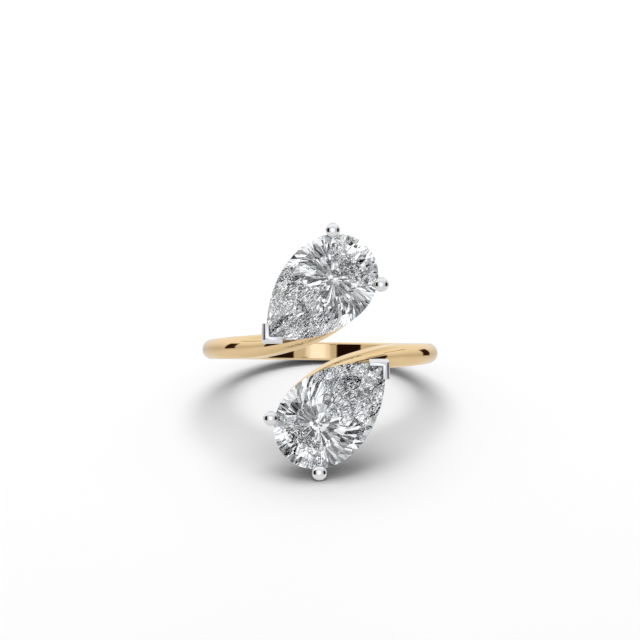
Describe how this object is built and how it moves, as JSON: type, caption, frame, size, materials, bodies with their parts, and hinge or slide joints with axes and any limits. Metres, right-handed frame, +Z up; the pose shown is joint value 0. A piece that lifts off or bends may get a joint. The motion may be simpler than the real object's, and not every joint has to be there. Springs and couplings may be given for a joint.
{
  "type": "toi et moi ring",
  "caption": "Toi et moi ring: an open yellow gold band whose arms pass each other, each with a pear-shaped brilliant between a V-prong and round claws in white gold.",
  "frame": {"origin": "centre of the finger hole, midway along the band's width", "axes": "the ring lies on its side, as it rests: +Z up, +X across the head, -Y towards the head and +Y towards the back of the band; the finger hole's axis leans back from +Z"},
  "size_m": [0.02, 0.0251, 0.0191],
  "materials": {
    "yellow_gold": "14 karat yellow gold, polished",
    "white_gold": "14 karat white gold, rhodium plated and polished",
    "diamond": "clear cut stone with flat polished facets"
  },
  "bodies": {
    "root": {"band": "yellow_gold", "setting_upper": "white_gold", "setting_lower": "white_gold", "stone_upper": "diamond", "stone_lower": "diamond"}
  },
  "joints": []
}
